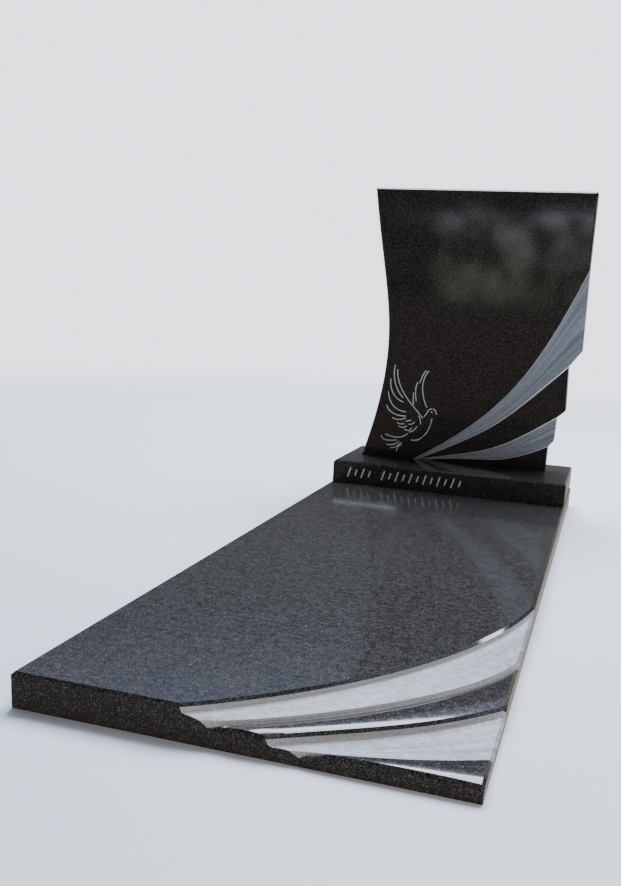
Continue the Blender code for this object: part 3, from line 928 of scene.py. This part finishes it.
DOVE_TAIL = (
    ((5, 19), (15, 15), (25, 15), (32, 22)),
    ((0, 17), (2, 11), (7, 11), (19, 13)),
    ((7, 7), (11, 6), (18, 7), (22, 12)),
    ((12, 3), (17, 3), (22, 7), (25, 11)),
    ((20, 0), (20, 4), (22, 7), (26, 9)),
)
DOVE_BODY = (
    ((49, 43), (53, 46), (53, 53), (58, 53)),
    ((59, 53), (62, 53), (63, 50), (64, 47)),
    ((57, 49), (57.6, 49.4), (58.2, 49.4), (58.8, 49)),
    ((59, 42), (58, 35), (57, 27), (50, 20)),
    ((49, 19), (45, 15), (40, 14), (36, 15)),
    ((43, 44), (45, 41), (46, 38), (46, 34)),
)


def dove_grooves():
    curve = bpy.data.curves.new("dove", "CURVE")
    curve.dimensions = "2D"
    size = DOVE_HEIGHT / DOVE_SQUARES
    corner = Vector((DOVE_LEFT, DOVE_FOOT))
    for knots in DOVE_NEAR_WING + DOVE_FAR_WING + DOVE_TAIL + DOVE_BODY:
        start, leave, arrive, end = (corner + Vector(knot) * size for knot in knots)
        spline = curve.splines.new("BEZIER")
        spline.bezier_points.add(1)
        for point, at, before, after in (
            (spline.bezier_points[0], start, start, leave),
            (spline.bezier_points[1], end, arrive, end),
        ):
            point.handle_left_type = point.handle_right_type = "FREE"
            point.co = (*at, 0)
            point.handle_left, point.handle_right = (*before, 0), (*after, 0)
    print("dove:", len(curve.splines), "strokes")
    to_face = upright(tablet_low.y, tablet_low.z)
    return grooves_cutter(
        in_scene("dove", curve), to_face, ENGRAVED, Width=DOVE_STROKE, Depth=GROOVE_DEPTH
    )


# %% [markdown]
# All the tablet's bands are flat, each a step behind the one before, dull and polished by turns.
# The edges between them are sandblasted and stay pale. The same carving cuts them as on the
# slab, and the dove is cut with it.

# %% The tablet
def tablet():
    stone = tablet_blank()
    lines = [
        sweep_line(Vector((sweep.start, 0)), Vector(sweep.end), sweep, TABLET_CLEAR)
        for sweep in TABLET_SWEEPS
    ]
    lines.append(corner_line(Vector((FOOT_RIGHT, 0)), 0, TABLET_CLEAR))
    # The polished bands take the tablet's own polish, whose darker flecks are painted shade.
    finishes = [POLISHED_UPRIGHT_PAINTED_SHADE, DULL, ENGRAVED]
    polished, dull, edge = finishes
    bands = (dull, polished, dull, polished)
    stations = [
        Station(0, -ARRIS - CLEAR, -CLEAR, polished, 0, 0, 1, 0),
        Station(0, 0, ARRIS, edge, 0, 0, 1, 0),
    ]
    for line, finish in enumerate(bands):
        level = TABLET_STEP * (line + 1)
        stations.append(Station(line, DRAFT, level, finish, 0, 0, 1, 0))
        if line + 1 < len(bands):
            stations.append(Station(line + 1, -STEP_ARRIS, level, edge, 0, 0, 1, 0))
            stations.append(Station(line + 1, 0, level + STEP_ARRIS, edge, 0, 0, 1, 0))
    stations.append(Station(len(bands), 0, TABLET_STEP * len(bands), polished, 0, 0, 1, 0))
    carved = carving("tablet_carving", lines, stations, TABLET_CLEAR, tablet_place, finishes)
    cut(stone, carved, dove_grooves())
    dress(stone, "tablet")


tablet()

# %% [markdown]
# ## The studio
#
# The floor is plain and pale. It fades into the backdrop's colour before it ends, so that no
# horizon shows, and polished stone doesn't mirror it.

# %% The floor
FLOOR_SIZE = 60
FLOOR_COLOUR = (0.74, 0.78, 0.86)
FADE = (1.5, 6)
BACKDROP = (0.84, 0.90, 1.0)
BACKDROP_STRENGTH = 2.6


def floor():
    mesh = bpy.data.meshes.new("floor")
    half = FLOOR_SIZE / 2
    corners = [(-half, -half, 0), (half, -half, 0), (half, half, 0), (-half, half, 0)]
    mesh.from_pydata(corners, [], [(0, 1, 2, 3)])
    ground = in_scene("floor", mesh)
    paint = bpy.data.materials.new("pale_floor")
    paint.use_nodes = True
    tree = paint.node_tree
    shader = tree.nodes["Principled BSDF"]
    feed(tree, shader, {"Base Color": (*FLOOR_COLOUR, 1), "Roughness": 0.9})
    place = node(tree, "ShaderNodeTexCoord", (-900, 0)).outputs["Object"]
    away = node(tree, "ShaderNodeVectorMath", (-700, 0), {0: place}, operation="LENGTH")
    far = remap(tree, (-500, 0), away.outputs["Value"], FADE, interpolation_type="SMOOTHSTEP")
    glow = node(tree, "ShaderNodeEmission", (-300, -200), {
        "Color": (*BACKDROP, 1), "Strength": BACKDROP_STRENGTH,
    })
    blend = node(tree, "ShaderNodeMixShader", (300, 0), {
        "Fac": far, 1: shader.outputs[0], 2: glow.outputs[0],
    })
    feed(tree, tree.nodes["Material Output"], {"Surface": blend.outputs[0]})
    mesh.materials.append(paint)
    ground.visible_glossy = False
    print("floor:", FLOOR_SIZE, "m wide, fades from", FADE[0], "to", FADE[1], "m")


floor()

# %% [markdown]
# Polished stone shows what stands around it, so the sky matters more than the lamps. Behind the
# memorial it is bright above and dark low down, which the slab's top mirrors. In front of it
# stands a hedge with ground below, which the tablet mirrors: patchy, and in shade on its left.
# Each side is a ramp over the height of the direction, and a mask on Y picks one. A camera ray
# sees only the pale backdrop.

# %% The sky
SKY_BEHIND = (
    (-0.5, (0.45, 0.42, 0.38)), (0.08, (0.45, 0.42, 0.38)), (0.14, (0.08, 0.08, 0.085)),
    (0.2, (0.065, 0.065, 0.07)), (0.35, (0.075, 0.078, 0.09)), (0.40, (0.26, 0.31, 0.48)),
    (0.55, (0.50, 0.64, 1.0)), (0.85, (1.5, 1.8, 2.4)),
)
SKY_IN_FRONT = (
    (-0.3, (0.24, 0.19, 0.16)), (-0.01, (0.17, 0.135, 0.115)), (0.0, (0.34, 0.38, 0.27)),
    (0.04, (0.55, 0.62, 0.52)), (0.08, (1.0, 1.06, 1.25)), (0.088, (0.04, 0.04, 0.04)),
    (0.8, (0.08, 0.08, 0.085)), (1.0, (0.32, 0.36, 0.42)),
)
BEHIND_FROM = (0.05, 0.35)
LEAF_SPAN, LEAF_LIGHT = (0.42, 0.66), (0.2, 2.6)
SHADE_ENDS, SHADED = (-0.205, -0.165), 0.12
HEDGE_FOOT = (-0.015, 0.0)


def sky():
    world = bpy.data.worlds.new("sky")
    bpy.context.scene.world = world
    world.use_nodes = True
    tree = world.node_tree
    tree.nodes.clear()
    direction = node(tree, "ShaderNodeTexCoord", (-900, 0)).outputs["Generated"]
    split = node(tree, "ShaderNodeSeparateXYZ", (-700, 0), {"Vector": direction}).outputs
    height = remap(tree, (-600, 0), split["Z"], (-1, 1))
    skies = []
    for place, stops in (((-400, 200), SKY_BEHIND), ((-400, -200), SKY_IN_FRONT)):
        ramp = node(tree, "ShaderNodeValToRGB", place, {"Fac": height})
        for k, (up, colour) in enumerate(stops):
            at = (up + 1) / 2
            stop = ramp.color_ramp.elements[k] if k < 2 else ramp.color_ramp.elements.new(at)
            stop.position = at
            stop.color = (*colour, 1)
        skies.append(ramp.outputs["Color"])
    behind, front = skies
    leaves = noise(tree, (-600, -1000), direction, scale=26, detail=4)
    gaps = remap(tree, (-400, -1000), leaves, LEAF_SPAN, to=LEAF_LIGHT)
    shade = remap(tree, (-400, -1300), split["X"], SHADE_ENDS, to=(SHADED, 1))
    leafy = maths(tree, (-200, -1100), "MULTIPLY", gaps, shade)
    above_ground = remap(tree, (-400, -1600), split["Z"], HEDGE_FOOT)
    patchy = node(tree, "ShaderNodeMix", (0, -1100), {
        "Factor": above_ground, 2: 1, 3: leafy,
    }, data_type="FLOAT").outputs[0]
    hedge = scaled(tree, (-200, -300), front, patchy)
    facing = remap(tree, (-400, -500), split["Y"], BEHIND_FROM)
    around = mixed_colour(tree, (-100, 0), facing, hedge, behind)
    light = node(tree, "ShaderNodeBackground", (300, 0), {"Color": around, "Strength": 1})
    backdrop = node(tree, "ShaderNodeBackground", (200, -200), {
        "Color": (*BACKDROP, 1), "Strength": BACKDROP_STRENGTH,
    })
    seen = node(tree, "ShaderNodeLightPath", (200, 300)).outputs["Is Camera Ray"]
    shown = node(tree, "ShaderNodeMixShader", (600, 0), {
        "Fac": seen, 1: light.outputs[0], 2: backdrop.outputs[0],
    })
    node(tree, "ShaderNodeOutputWorld", (900, 0), {"Surface": shown.outputs[0]})
    print("sky:", len(SKY_BEHIND), "stops behind,", len(SKY_IN_FRONT), "in front")


sky()

# %% [markdown]
# One wide lamp overhead stands for the bright sky. It lights the tops of the stones far more
# than their fronts, as daylight does. A small lamp behind the memorial's right shoulder puts a
# glint on the carved bands, and a warm one in front fills the upright faces. Polished stone
# would mirror the last as a bright square, so it is hidden from mirror rays.

# %% The lamps
def lamp(name, place, aim, size, power, colour):
    light = bpy.data.lights.new(name, "AREA")
    light.shape = "RECTANGLE"
    light.size, light.size_y = size
    light.energy = power
    light.color = colour
    made = in_scene(name, light)
    made.location = place
    made.rotation_euler = (Vector(aim) - Vector(place)).to_track_quat("-Z", "Y").to_euler()
    print("lamp:", name, power, "W")
    return made


lamp(
    "overhead", place=(0, 2.4, 4.6), aim=(0, 0, 0), size=(3.6, 3.0), power=680,
    colour=(0.86, 0.93, 1.0),
)
lamp(
    "glint", place=(2.75, 2.3, 2.0), aim=(0.35, -0.5, 0.05), size=(0.8, 0.8), power=34,
    colour=(1, 1, 1),
)
fill = lamp(
    "fill", place=(1.3, -2.4, 0.8), aim=(0.2, -0.9, 0.05), size=(1, 1), power=19,
    colour=(1.0, 0.87, 0.75),
)
fill.visible_glossy = False

# %% [markdown]
# ## The camera
#
# The camera stands a little to the right of the foot end and looks down along the slab. Its
# place and its turn were found by fitting the edges of the three stones to the photograph.

# %% The camera
CAMERA_PLACE = (0.4783, -2.2539, 0.6771)
CAMERA_RIGHT = (0.94974, 0.30877, 0.05154)
CAMERA_UP = (-0.12919, 0.23664, 0.96297)
CAMERA_BACK = (0.28514, -0.92123, 0.26463)
LENS_MM = 38.17
SHIFT_UP = 0.1174


def camera():
    view = bpy.data.cameras.new("camera")
    view.lens = LENS_MM
    view.shift_y = SHIFT_UP
    made = in_scene("camera", view)
    turn = Matrix((CAMERA_RIGHT, CAMERA_UP, CAMERA_BACK)).transposed().to_4x4()
    made.matrix_world = Matrix.Translation(CAMERA_PLACE) @ turn
    bpy.context.scene.camera = made
    print("camera:", LENS_MM, "mm at", CAMERA_PLACE)


camera()
